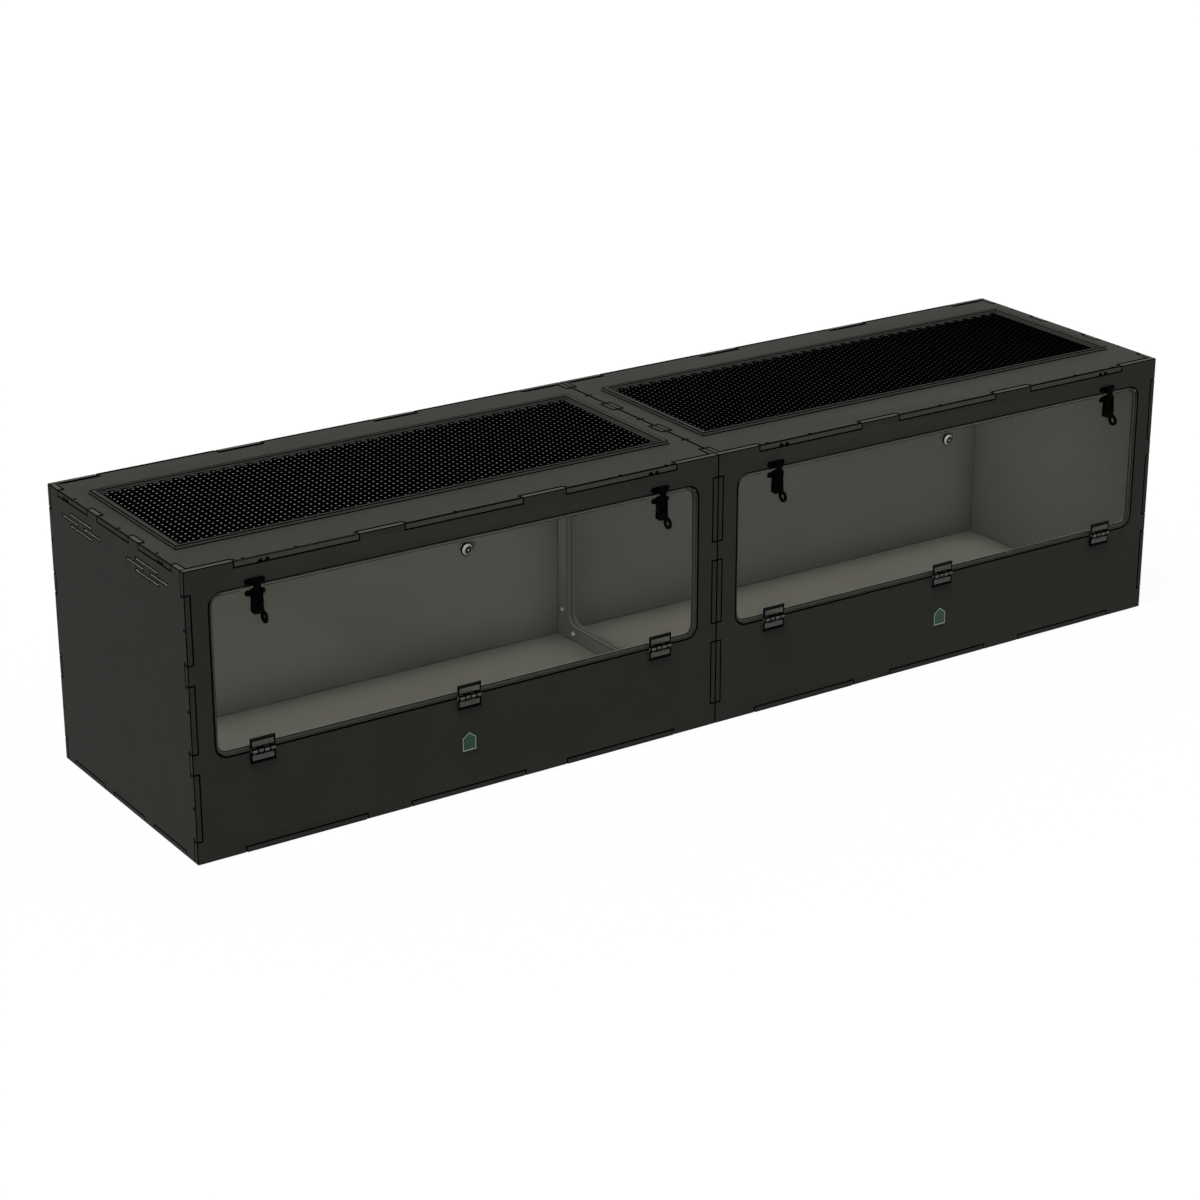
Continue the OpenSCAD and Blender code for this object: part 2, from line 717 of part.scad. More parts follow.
for (side = SIDES) {
  outer_x = side == "left" ? 0 : module_length - sheet_t;
  inner_x = side == "left" ? module_length - sheet_t : 0;
  piece(side, "floor_panel") floor_panel();
  piece(side, "top_panel") top_panel(side);
  piece(side, "front_panel") front_panel();
  piece(side, "back_panel") back_panel();
  piece(side, "outer_side_panel") outer_side_panel(outer_x);
  piece(side, "inner_side_panel") inner_side_panel(inner_x);
  piece(side, "screen_frame") screen_frame();
  piece(side, "screen_sheet") screen_sheet();
  piece(side, "door") door();
  for (i = [0 : 2]) {
    piece(side, str("hinge_", i + 1, "_frame_leaf")) frame_leaf(i);
    piece(side, str("hinge_", i + 1, "_door_leaf")) door_leaf(i);
  }
  for (i = [0 : 1]) {
    piece(side, str("latch_", i + 1, "_keeper")) keeper(i);
    piece(side, str("latch_", i + 1, "_base")) latch_base(i);
    piece(side, str("latch_", i + 1, "_lever")) latch_lever(i);
    piece(side, str("latch_", i + 1, "_hook")) latch_hook(i);
  }
  piece(side, "lock_body") lock_body();
  piece(side, "lock_nut") lock_nut();
  piece(side, "lock_plug") lock_plug();
  piece(side, "lock_cam") lock_cam();
  piece(side, "badge") badge();
}
hinge_pins();
joining_bolts();
joining_nuts();
panel_pins();
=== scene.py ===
# %% [markdown]
# # Reptile terrarium
# Two front-opening enclosures stand side by side, bolted together through a passage. Each
# one is a box of six black plastic sheets with finger joints, a clear drop-down door, a
# perforated steel screen on top and a row of vents in its free side. The solids come from
# the CAD frame; this lesson dresses them: eased edges, cut and skin faces, a real
# perforated sheet, clear doors, hardware, light and a camera.

import json
import math

import bmesh
import bpy
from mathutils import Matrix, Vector

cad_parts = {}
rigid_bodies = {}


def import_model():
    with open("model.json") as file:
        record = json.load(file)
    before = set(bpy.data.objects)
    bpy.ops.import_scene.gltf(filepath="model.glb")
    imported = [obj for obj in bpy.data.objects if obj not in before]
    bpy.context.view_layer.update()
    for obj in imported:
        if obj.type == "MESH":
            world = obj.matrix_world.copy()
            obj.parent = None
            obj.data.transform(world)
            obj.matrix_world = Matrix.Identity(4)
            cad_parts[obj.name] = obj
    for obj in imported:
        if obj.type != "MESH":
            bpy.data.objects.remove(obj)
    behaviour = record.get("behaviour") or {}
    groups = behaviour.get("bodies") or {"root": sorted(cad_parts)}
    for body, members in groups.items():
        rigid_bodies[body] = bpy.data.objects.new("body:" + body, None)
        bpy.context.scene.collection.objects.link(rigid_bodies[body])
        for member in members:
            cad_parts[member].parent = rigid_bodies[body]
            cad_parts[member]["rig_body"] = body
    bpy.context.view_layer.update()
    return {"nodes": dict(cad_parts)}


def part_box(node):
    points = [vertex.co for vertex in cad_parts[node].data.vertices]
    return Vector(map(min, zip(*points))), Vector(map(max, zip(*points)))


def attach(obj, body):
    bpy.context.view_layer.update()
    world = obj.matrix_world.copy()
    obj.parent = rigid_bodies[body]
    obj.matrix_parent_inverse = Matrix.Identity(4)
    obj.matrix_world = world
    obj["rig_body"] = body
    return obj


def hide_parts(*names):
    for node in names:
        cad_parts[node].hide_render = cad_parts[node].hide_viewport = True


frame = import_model()
SIDES = ("left", "right")

# %% [markdown]
# ## A helper for finishes
# Nearly every finish here is one Principled shader with some texture behind it, so a small
# helper starts each material and sets the values that are the same all over on the shader's
# own sockets. Values set there survive an export, which values fed in by nodes may not.
# Textures use object coordinates in metres, because the pieces have no unwrapped maps and a
# scale in metres is easy to check against the real thing.

# %% Start a finish
def start_finish(name, base, roughness, metallic=0.0, specular=0.5):
    """A new material, its node tree and its shader."""
    material = bpy.data.materials.new(name)
    material.use_nodes = True
    shader = material.node_tree.nodes["Principled BSDF"]
    shader.inputs["Base Color"].default_value = (*base, 1)
    shader.inputs["Roughness"].default_value = roughness
    shader.inputs["Metallic"].default_value = metallic
    shader.inputs["Specular IOR Level"].default_value = specular
    return material, material.node_tree, shader


def noise(tree, scale, detail=3.0, stretch=(1, 1, 1)):
    """A noise pattern; scale is about how many of its spots lie along one metre."""
    place = tree.nodes.new("ShaderNodeTexCoord")
    mapping = tree.nodes.new("ShaderNodeMapping")
    mapping.inputs["Scale"].default_value = stretch
    texture = tree.nodes.new("ShaderNodeTexNoise")
    texture.inputs["Scale"].default_value = scale
    texture.inputs["Detail"].default_value = detail
    tree.links.new(place.outputs["Object"], mapping.inputs["Vector"])
    tree.links.new(mapping.outputs["Vector"], texture.inputs["Vector"])
    return texture.outputs["Fac"]


def vary_colour(tree, shader, factor, dark, light):
    """Lets the colour wander between two close tones."""
    ramp = tree.nodes.new("ShaderNodeValToRGB")
    ramp.color_ramp.elements[0].position = 0.3
    ramp.color_ramp.elements[1].position = 0.7
    ramp.color_ramp.elements[0].color = (*dark, 1)
    ramp.color_ramp.elements[1].color = (*light, 1)
    tree.links.new(factor, ramp.inputs["Fac"])
    tree.links.new(ramp.outputs["Color"], shader.inputs["Base Color"])


def vary_roughness(tree, shader, factor, low, high):
    """Lets the gloss wander, as handling and wear do."""
    span = tree.nodes.new("ShaderNodeMapRange")
    span.inputs["To Min"].default_value = low
    span.inputs["To Max"].default_value = high
    tree.links.new(factor, span.inputs["Value"])
    tree.links.new(span.outputs["Result"], shader.inputs["Roughness"])


def roughen(tree, shader, factor, depth, strength=0.6):
    """A fine relief; depth is in metres."""
    bump = tree.nodes.new("ShaderNodeBump")
    bump.inputs["Distance"].default_value = depth
    bump.inputs["Strength"].default_value = strength
    tree.links.new(factor, bump.inputs["Height"])
    tree.links.new(bump.outputs["Normal"], shader.inputs["Normal"])


def scaled(colour, factor):
    """A lighter or darker tone of the same colour."""
    return tuple(c * factor for c in colour)


print("helpers ready: start_finish, noise, vary_colour, vary_roughness, roughen, scaled")

# %% [markdown]
# ## The black sheet
# The panels are routed from black plastic sheet. Its rolled skin is a very dark warm grey
# with a fine pebble, and wherever the cutter went the plastic is about twice as light and
# shows close feed lines. Only some cut faces get that lighter finish, picked by how the light
# falls on them, so it is partly painted light. The sharp corners are eased with a small
# chamfer, painted near black so that it reads as a thin black line. Separate finishes on the
# faces of one piece are easier to control than one finish that guesses where it is. Three
# more finishes are painted light on cut faces: the walls of the vent slots and the flanks of
# the screen frames are painted lighter to make up for the shade they lie in, and the lip
# under the window's upper edge carries a painted highlight.

# %% Sheet finishes
SKIN = (0.0455, 0.0447, 0.0400)
CUT = (0.088, 0.0865, 0.078)

skin, tree, shader = start_finish("sheet_skin", SKIN, 0.62, specular=0.03)
vary_colour(tree, shader, noise(tree, 9, 4), scaled(SKIN, 0.96), scaled(SKIN, 1.04))
vary_roughness(tree, shader, noise(tree, 30, 3), 0.56, 0.68)
roughen(tree, shader, noise(tree, 900, 2), 0.000012)

# partly painted light: the cut finish is lighter than the skin and goes only on the cut faces that
# finish_of picks
cut, tree, shader = start_finish("sheet_cut_and_lit_edge", CUT, 0.7, specular=0.03)
feed = noise(tree, 260, 2, stretch=(1, 1, 0.15))
vary_colour(tree, shader, feed, scaled(CUT, 0.93), scaled(CUT, 1.07))
roughen(tree, shader, feed, 0.00003)

eased, tree, shader = start_finish("sheet_eased_edge", (0.0015, 0.0015, 0.0015), 0.9,
                                   specular=0.0)
vary_colour(tree, shader, noise(tree, 120, 2), (0.001, 0.001, 0.001), (0.002, 0.002, 0.0018))

# painted light: the slot walls are painted far lighter than cut plastic, to make up for the shade
# they lie in
painted_slot_light, tree, shader = start_finish("painted_slot_light", (0.78, 0.78, 0.70), 0.7, specular=0.03)
vary_colour(tree, shader, noise(tree, 260, 2), (0.75, 0.75, 0.68), (0.80, 0.80, 0.73))

# painted light: the frame's flanks are painted lighter to make up for the shade they lie in
painted_flank_light, tree, shader = start_finish("frame_flank", (0.125, 0.123, 0.112), 0.7, specular=0.03)
vary_colour(tree, shader, noise(tree, 260, 2, stretch=(0.15, 0.15, 1)), (0.118, 0.116, 0.106),
            (0.132, 0.130, 0.118))

# painted highlight: a light band on the lip under the window's upper edge
lit_lip, tree, shader = start_finish("lit_lip", (0.32, 0.316, 0.284), 0.7, specular=0.03)
vary_colour(tree, shader, noise(tree, 200, 2), (0.305, 0.301, 0.271), (0.335, 0.331, 0.297))
print("sheet finishes:", *(m.name for m in (skin, cut, eased, painted_slot_light, painted_flank_light, lit_lip)))

# %% [markdown]
# ## Copies with eased edges
# CAD edges are perfectly sharp, which no real part is. A CAD node's own mesh stays as it
# is, so each piece gets a welded copy, its flat faces are merged again, and its sharp edges
# are chamfered. The chamfers go into a dark finish of their own. A bevel takes its width
# from a weight on each edge, so small things such as pin holes, slots and grooves can have
# a finer chamfer than the long edges in one and the same cut.

# %% Copy and ease
SHARP = math.radians(25)      # a bend above this gets a chamfer
SMOOTH = math.radians(28)     # a bend below this is shaded smooth


def merged_copy(node):
    """A node's mesh, welded, with the triangles of each flat face merged again."""
    bm = bmesh.new()
    bm.from_mesh(frame["nodes"][node].data)
    bmesh.ops.remove_doubles(bm, verts=bm.verts, dist=2e-6)
    bmesh.ops.dissolve_limit(bm, angle_limit=math.radians(0.5), verts=bm.verts, edges=bm.edges)
    return bm


def ease(bm, width, material, weight=lambda edge: 1.0):
    """Chamfers every sharp edge, each at its own share of the width."""
    share = bm.edges.layers.float.new("bevel_weight_edge")
    for edge in bm.edges:
        if len(edge.link_faces) == 2 and edge.calc_face_angle(0) > SHARP:
            edge[share] = weight(edge)
    mesh = bpy.data.meshes.new("to_ease")
    bm.to_mesh(mesh)
    carrier = bpy.data.objects.new("to_ease", mesh)
    bpy.context.scene.collection.objects.link(carrier)
    chamfer = carrier.modifiers.new("chamfer", "BEVEL")
    chamfer.limit_method = "WEIGHT"
    chamfer.width = width
    chamfer.segments = 1
    chamfer.material = material
    chamfer.miter_outer = "MITER_SHARP"
    chamfer.use_clamp_overlap = False
    for _ in range(material + 1):
        mesh.materials.append(None)
    shape = carrier.evaluated_get(bpy.context.evaluated_depsgraph_get()).data
    bm.clear()
    bm.from_mesh(shape)
    bpy.data.objects.remove(carrier)
    bpy.data.meshes.remove(mesh)


def new_piece(bm, name, finishes, body, stands_for=()):
    """Turns a mesh in progress into a piece that rides on a body."""
    mesh = bpy.data.meshes.new(name)
    bm.to_mesh(mesh)
    bm.free()
    for finish in finishes:
        mesh.materials.append(finish)
    mesh.shade_smooth()
    mesh.set_sharp_from_angle(angle=SMOOTH)
    piece = bpy.data.objects.new(name, mesh)
    bpy.context.scene.collection.objects.link(piece)
    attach(piece, body)
    if stands_for:
        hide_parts(*stands_for)
    return piece


def body_of(node):
    """The body that a CAD node rides on."""
    return frame["nodes"][node]["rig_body"]


print("helpers ready: merged_copy, ease, new_piece, body_of")

# %% [markdown]
# ## The twelve panels
# Most faces have the sheet's skin colour, and the inner side panels have it all over. Some
# cut faces get the lighter cut finish, which here is partly painted light: the upper ends of
# the fingers, the window's lower edge, the floor of the door's pocket and the top panel's
# long edges. In the vent slots the light falls in from the side only, so their walls are
# painted with the lightest colour, as painted light that makes up for their shade.
#
# Thin dark strips lie in the top panel's upper face along its edges. The same strips draw
# the vent slots, the window and the lead grooves. An inset of the face would do it too, but
# it fails where fingers are narrow. Here each strip follows one edge as a thin closed bar, and
# neighbouring strips share mitred corners.

# %% Strips along a rim
LIFT = 0.00005      # how far a strip stands proud of its face
INLET = 0.0002      # how thick a strip is


def rim_strips(bm, axis, level, start, width, keep=lambda edge: True):
    """Strips on the flat face at a level, beside its edges; width depends on the inward side."""
    flat = {f for f in bm.faces if abs(f.normal[axis]) > 0.99
            and abs(f.calc_center_median()[axis] - level) < 1e-5}
    rims = [loop for f in flat for loop in f.loops
            if any(other not in flat for other in loop.edge.link_faces) and keep(loop.edge)]
    inward, side_of = {}, {}
    for loop in rims:
        ends = loop.vert, loop.link_loop_next.vert
        side_of[loop] = loop.face.normal.cross(ends[1].co - ends[0].co).normalized()
        for end in ends:
            inward.setdefault(end, []).append(side_of[loop])
    strips = []
    for loop in rims:
        lift = loop.face.normal * LIFT
        corners = []
        for vert, far in ((loop.vert, 0), (loop.link_loop_next.vert, 0),
                          (loop.link_loop_next.vert, 1), (loop.vert, 1)):
            first, last = inward[vert][0], inward[vert][-1]
            miter = (first + last) / max(1 + first.dot(last), 0.5)
            corners.append(vert.co + lift + miter * (start + far * width(side_of[loop])))
        strips.append(corners)
    return strips


def lay(bm, strips, material):
    """Makes each strip a thin closed bar, let into the surface under it."""
    for corners in strips:
        outward = (corners[1] - corners[0]).cross(corners[3] - corners[0]).normalized()
        top = [bm.verts.new(co) for co in corners]
        foot = [bm.verts.new(co - outward * INLET) for co in corners]
        sides = [(foot[k - 1], foot[k], top[k], top[k - 1]) for k in range(4)]
        for verts in [top, foot[::-1]] + sides:
            bm.faces.new(verts).material_index = material


print("helpers ready: rim_strips, lay")

# %% Where a panel's edges and faces lie
EASE = 0.0017       # width of the chamfer on a long edge
FINE = 0.6          # share of it for small things
SOFT = 0.5          # share of it round the passage
VENT_BAND = (0.030, 0.064)      # where the vents lie, down from the panel's top
VENT_END = 0.26                 # and sideways from its middle
MARGIN = 0.04                   # the passage and the window's ends lie further in than this
ARC_STEP = (0.0005, 0.0006)     # length of one step of a lead groove's round end
GROOVE_RISE = (0.0025, 0.0028)  # height of a lead groove's upright edges
AXIS = {"floor_panel": 2, "top_panel": 2, "front_panel": 1, "back_panel": 1,
        "outer_side_panel": 0, "inner_side_panel": 0}


def in_slots(point, kind, top):
    """Whether a point lies in the band with the vent slots."""
    near, far = VENT_BAND
    return (kind == "outer_side_panel" and top - far < point.z < top - near
            and abs(point.y) < VENT_END)


def middle_of(edge):
    """The point halfway along an edge."""
    return (edge.verts[0].co + edge.verts[1].co) / 2


def at_passage(edge, kind, low, high):
    """Whether an edge runs round the passage between the boxes."""
    point = middle_of(edge)
    return (kind == "inner_side_panel" and low.y + MARGIN < point.y < high.y - MARGIN
            and low.z + MARGIN < point.z < high.z - MARGIN)


def in_groove(edge, kind):
    """Whether an edge belongs to a lead groove: a short arc step or a short upright."""
    rise = abs(edge.verts[0].co.z - edge.verts[1].co.z)
    arc = ARC_STEP[0] < edge.calc_length() < ARC_STEP[1]
    return kind == "top_panel" and (arc or GROOVE_RISE[0] < rise < GROOVE_RISE[1])


print("helpers ready: in_slots, middle_of, at_passage, in_groove")

# %% Which finish a face gets
SKIN_FACE, CUT_AND_LIT_FACE, DARK, PAINTED_SLOT_LIGHT, LIT_LIP = range(5)


def finish_of(face, kind, axis, low, high):
    """The place of a face's finish in the panel's list of finishes."""
    centre, normal = face.calc_center_median(), face.normal
    from_skin = min(centre[axis] - low[axis], high[axis] - centre[axis])
    if abs(normal[axis]) > 0.99 and from_skin < 0.0004:
        return SKIN_FACE
    # painted light: the walls of the vent slots
    if in_slots(centre, kind, high.z):
        return PAINTED_SLOT_LIGHT
    # painted shade: the bottom of a corner relief gets the near-black finish
    if normal.z > 0.7 and 0.005 < high.z - centre.z < 0.02:      # bottom of a corner relief
        return DARK
    if kind == "inner_side_panel":
        return SKIN_FACE
    # painted light: the pocket's floor gets the lighter cut finish to make up for the shade of the
    # door and the pocket
    if kind == "front_panel" and normal.y < -0.9:                # floor of the door's pocket
        return CUT_AND_LIT_FACE
    if kind == "front_panel" and low.y + 0.001 < centre.y < low.y + 0.006:   # its walls
        return SKIN_FACE
    # partly painted light: cut faces turned up, and the top panel's long edges, get the lighter cut
    # finish
    if normal.z > 0.7 or (kind == "top_panel" and abs(normal.y) > 0.9):
        return CUT_AND_LIT_FACE
    return SKIN_FACE


print("finishes a panel can have:", LIT_LIP + 1)

# %% Dark and light lines on a panel
OVERLAP = 0.95      # a strip starts just inside its chamfer
LINE = {"front": 0.003, "back": 0.008, "left": 0.0004, "right": 0.002,      # of the top panel
        "groove": 0.0008, "vent": 0.0025, "window": 0.0012}
VENT_START = -0.0007      # the vents' lines start a little over the slot
SHORTEST = 0.004          # shorter edges of the top panel get no line


def lines_of(bm, kind, low, high):
    """The dark strips of one panel."""
    if kind == "top_panel":
        def wide(inward):
            if abs(inward.y) > 0.7:
                return LINE["front" if inward.y > 0 else "back"]
            return LINE["left" if inward.x > 0 else "right"]

        strips = rim_strips(bm, 2, high.z, EASE * OVERLAP, wide,
                            lambda edge: edge.calc_length() > SHORTEST)
        for axis, level in ((1, low.y), (0, low.x), (0, high.x)):
            strips += rim_strips(bm, axis, level, EASE * FINE * OVERLAP,
                                 lambda inward: LINE["groove"],
                                 lambda edge: in_groove(edge, kind))
        return strips
    if kind == "outer_side_panel":
        level = low.x if low.x < -1 else high.x
        return rim_strips(bm, 0, level, VENT_START, lambda inward: LINE["vent"],
                          lambda edge: in_slots(middle_of(edge), kind, high.z))
    if kind == "front_panel":
        def at_window(edge):
            point = middle_of(edge)
            return (low.x + MARGIN < point.x < high.x - MARGIN
                    and low.z + 0.1 < point.z < high.z - 0.03)

        return rim_strips(bm, 1, low.y, EASE * OVERLAP, lambda inward: LINE["window"], at_window)
    return []


WINDOW_DROP = 0.056         # from the panel's top to the window's upper edge
LIP_END = 0.077             # from the panel's end to the end of the straight lip
LATCH_GAP = 0.025           # half the gap in the lip behind a latch
LIP_BACK = 0.0063           # from the panel's front back to the band
LIT_TO, DARK_TO = 0.0065, 0.0074      # where the light band ends, and the dark one under it


def lip_lights(side, low, high, upper, lower):
    """A band of the lip under the window's upper edge, between the gaps for the latches."""
    stops = [low.x + LIP_END]
    for i in (1, 2):
        first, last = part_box(f"{side}_latch_{i}_base")
        middle = (first.x + last.x) / 2
        stops += [middle - LATCH_GAP, middle + LATCH_GAP]
    stops.append(high.x - LIP_END)
    y, top = low.y + LIP_BACK, high.z - WINDOW_DROP
    return [[Vector((a, y, top - upper)), Vector((a, y, top - lower)), Vector((b, y, top - lower)),
             Vector((b, y, top - upper))] for a, b in zip(stops[::2], stops[1::2])]


print("helpers ready: lines_of, lip_lights")

# %% Panels
def panel(node, kind):
    """One panel: a copy with its finishes, eased edges and lines."""
    axis = AXIS[kind]
    bm = merged_copy(node)
    low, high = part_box(node)
    for face in bm.faces:
        face.material_index = finish_of(face, kind, axis, low, high)
    strips = lines_of(bm, kind, low, high)

    def share(edge):
        if at_passage(edge, kind, low, high):
            return SOFT
        small = edge.calc_length() < 0.0012 or in_groove(edge, kind)
        return FINE if small or in_slots(middle_of(edge), kind, high.z) else 1.0

    ease(bm, EASE, DARK, share)
    lay(bm, strips, DARK)
    if kind == "front_panel":
        side = node.split("_")[0]
        # painted highlight band on the lip, with a dark line under it
        lay(bm, lip_lights(side, low, high, 0, LIT_TO), LIT_LIP)
        lay(bm, lip_lights(side, low, high, LIT_TO, DARK_TO), DARK)
    return new_piece(bm, node + "_eased", (skin, cut, eased, painted_slot_light, lit_lip), body_of(node),
                     (node,))


panels = [panel(f"{side}_{kind}", kind) for side in SIDES for kind in AXIS]
print("panels:", len(panels), "with", sum(len(p.data.polygons) for p in panels), "faces")

# %% [markdown]
# ## The screen frames
# A frame of the same plastic lies round each screen. Its top is skin and its flanks were
# cut; they are painted lighter, as painted light that makes up for the shade they lie in. A
# dark line follows the edges of that top: widest on the far side of the long bars, finer on
# their near side and finest on the end bars. Another thin dark line, of painted shade, lies
# on the panel round the frame's foot.

# %% Screen frames
def ring(low, high, out, within, z):
    """Four strips round a rectangle, from outside it to inside it."""
    def corner(x, y, d):
        return Vector((x + (d if x == high.x else -d), y + (d if y == high.y else -d), z))

    points = [(low.x, low.y), (high.x, low.y), (high.x, high.y), (low.x, high.y)]
    return [[corner(*a, out), corner(*b, out), corner(*b, -within), corner(*a, -within)]
            for a, b in zip(points, points[1:] + points[:1])]


FRAME_EASE = 0.0011
FOOT_LINE = 0.002       # how far the line round the foot reaches out


def frame_line(inward):
    """How wide the dark line is on each side of a frame's top."""
    return 0.0038 if inward.y < -0.5 else 0.0025 if inward.y > 0.5 else 0.0015


for side in SIDES:
    node = f"{side}_screen_frame"
    bm = merged_copy(node)
    low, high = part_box(node)
    for face in bm.faces:
        face.material_index = 1 if abs(face.normal.z) < 0.5 else 0
    strips = rim_strips(bm, 2, high.z, FRAME_EASE * OVERLAP, frame_line)
    # painted shade: a thin dark line on the panel round the frame's foot
    strips += ring(low, high, FOOT_LINE, FRAME_EASE, low.z + 0.0001)
    ease(bm, FRAME_EASE, 2)
    lay(bm, strips, 2)
    new_piece(bm, node + "_eased", (skin, painted_flank_light, eased), body_of(node), (node,))
print("screen frames: 2")

# %% [markdown]
# ## The perforated sheets
# The screens are punched steel sheet, painted black before the last trim, with holes in
# staggered columns. Cutting some 1,700 holes by Boolean would be slow and fragile. Instead
# the sheet is tiled with cells: each is a rectangle with a round hole, and its rim carries
# the points that its staggered neighbours need, so that the tiles weld into one skin. That
# skin is then extruded down into a solid sheet. The walls of the holes get a bright finish
# of their own, painted darker from each sheet's left end to its right end and much darker on
# the right sheet, as painted light. The plain border has the panels' skin colour.

# %% Screen finishes
web, tree, shader = start_finish("screen_paint", (0.0008, 0.0008, 0.0008), 0.8, specular=0.0)
vary_colour(tree, shader, noise(tree, 60, 3), (0.0006, 0.0006, 0.0006), (0.001, 0.001, 0.001))
roughen(tree, shader, noise(tree, 1400, 2), 0.00008)


def hole_wall(name, near, far, low, high):
    """Bare hole walls, painted darker from the sheet's left end to its right end as painted light.
    """
    material, tree, shader = start_finish(name, ((near + far) / 2,) * 3, 0.5, specular=0.05)
    place = tree.nodes.new("ShaderNodeTexCoord")
    apart = tree.nodes.new("ShaderNodeSeparateXYZ")
    fade = tree.nodes.new("ShaderNodeMapRange")
    tree.links.new(place.outputs["Object"], apart.inputs["Vector"])
    tree.links.new(apart.outputs["X"], fade.inputs["Value"])
    for socket, value in (("From Min", low), ("From Max", high), ("To Min", near), ("To Max", far)):
        fade.inputs[socket].default_value = value
    spots = tree.nodes.new("ShaderNodeMapRange")
    spots.inputs["To Min"].default_value = 0.6
    spots.inputs["To Max"].default_value = 1.4
    tree.links.new(noise(tree, 45, 2), spots.inputs["Value"])
    both = tree.nodes.new("ShaderNodeMath")
    both.operation = "MULTIPLY"
    tree.links.new(fade.outputs["Result"], both.inputs[0])
    tree.links.new(spots.outputs["Result"], both.inputs[1])
    tree.links.new(both.outputs[0], shader.inputs["Base Color"])
    return material


# painted light: the right sheet's hole walls are painted far darker than the left sheet's
punched = {"left": hole_wall("left_hole_wall", 0.8, 0.37, -1.2, -0.05),
           "right": hole_wall("right_hole_wall", 0.3, 0.02, 0.05, 1.2)}
print("screen finishes:", web.name, *(m.name for m in punched.values()))

# %% Screen sheet
COLUMN_STEP, ROW_STEP, COLUMNS, ROWS = 0.014, 0.016, 78, 22
HOLE_R = 0.0020
WALL, PLAIN = 1, 2          # places of the finishes besides the painted web


def cell(cx, cy, points, faces):
    """A rectangle with a round hole: twelve rim points joined to twelve hole points."""
    x, y = COLUMN_STEP / 2, ROW_STEP / 2
    rim = [(x, 0), (x, y / 2), (x, y), (0, y), (-x, y), (-x, y / 2), (-x, 0), (-x, -y / 2),
           (-x, -y), (0, -y), (x, -y), (x, -y / 2)]
    first = len(points)
    points += [(cx + px, cy + py, 0) for px, py in rim]
    points += [(cx + HOLE_R * math.cos(a), cy + HOLE_R * math.sin(a), 0)
               for a in (math.radians(30 * k) for k in range(12))]
    for k in range(12):
        n = (k + 1) % 12
        faces.append((first + k, first + n, first + 12 + n, first + 12 + k))


def blank(cx, low, high, points, faces):
    """The plain half cell that a staggered column leaves at one end."""
    x, middle = COLUMN_STEP / 2, (low + high) / 2
    first = len(points)
    points += [(cx + px, py, 0) for px, py in (
        (-x, low), (0, low), (x, low), (x, middle), (x, high), (0, high), (-x, high), (-x, middle))]
    faces.append(tuple(range(first, first + 8)))


def border(low, high, corner, points, faces):
    """Four strips between the field of holes and the sheet's edge."""
    (x0, y0), (x1, y1), (u0, v0), (u1, v1) = low, high, *corner
    half, quarter = COLUMN_STEP / 2, ROW_STEP / 4
    wide, deep = round((u1 - u0) / half), round((v1 - v0) / quarter)
    for y_out, v_in in ((y0, v0), (y1, v1)):
        strip = [(u0 + half * k, v_in, 0) for k in range(wide + 1)]
        strip += [(x1, y_out, 0), (x0, y_out, 0)]
        faces.append(tuple(range(len(points), len(points) + len(strip))))
        points += strip
    for x_out, u_in in ((x0, u0), (x1, u1)):
        strip = [(u_in, v0 + quarter * k, 0) for k in range(deep + 1)]
        strip += [(x_out, y1, 0), (x_out, y0, 0)]
        faces.append(tuple(range(len(points), len(points) + len(strip))))
        points += strip


def perforated_sheet(side):
    """The field of cells and its border, extruded down to the sheet's real thickness."""
    node = f"{side}_screen_sheet"
    low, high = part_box(node)
    middle = (low + high) / 2
    width, depth = COLUMNS * COLUMN_STEP, (ROWS + 0.5) * ROW_STEP
    u0, v0 = middle.x - width / 2, middle.y - depth / 2
    points, faces, plain = [], [], []
    for i in range(COLUMNS):
        cx = u0 + (i + 0.5) * COLUMN_STEP
        lift = ROW_STEP / 2 if i % 2 else 0
        for j in range(ROWS):
            cell(cx, v0 + lift + (j + 0.5) * ROW_STEP, points, faces)
        plain.append(len(faces))
        start = v0 if lift else v0 + ROWS * ROW_STEP
        blank(cx, start, start + ROW_STEP / 2, points, faces)
    plain += range(len(faces), len(faces) + 4)
    border((low.x, low.y), (high.x, high.y), ((u0, v0), (u0 + width, v0 + depth)), points, faces)
    mesh = bpy.data.meshes.new("screen_field")
    mesh.from_pydata([(x, y, high.z) for x, y, _ in points], [], faces)
    for i in plain:
        mesh.polygons[i].material_index = PLAIN
    bm = bmesh.new()
    bm.from_mesh(mesh)
    bmesh.ops.remove_doubles(bm, verts=bm.verts, dist=1e-5)
    bmesh.ops.recalc_face_normals(bm, faces=bm.faces)
    top = list(bm.faces)
    made = bmesh.ops.extrude_face_region(bm, geom=top)["geom"]
    for vert in (g for g in made if isinstance(g, bmesh.types.BMVert)):
        vert.co.z = low.z
    bmesh.ops.recalc_face_normals(bm, faces=bm.faces)
    for face in bm.faces:
        if abs(face.normal.z) < 0.5:
            face.material_index = WALL
    return new_piece(bm, f"{side}_perforated_sheet", (web, punched[side], skin), body_of(node),
                     (node,))


for side in SIDES:
    sheet = perforated_sheet(side)
    print(sheet.name, len(sheet.data.polygons), "faces")

# %% [markdown]
# ## The clear doors
# Each door is 6 mm acrylic. From outside it adds a faint, even veil over the dark inside of
# the box, because it mirrors pale surroundings. A shader that bends light would also keep the
# lamps out of the boxes, so the door is mostly see-through by alpha, and a small share of a
# pale glossy surface lies over it: its pale colour is a painted reflection, its gloss is real.
# Its rim and its eased edges are dark, which draws the door's outline. Only the upper rim,
# which faces the light, is painted paler, as painted light.

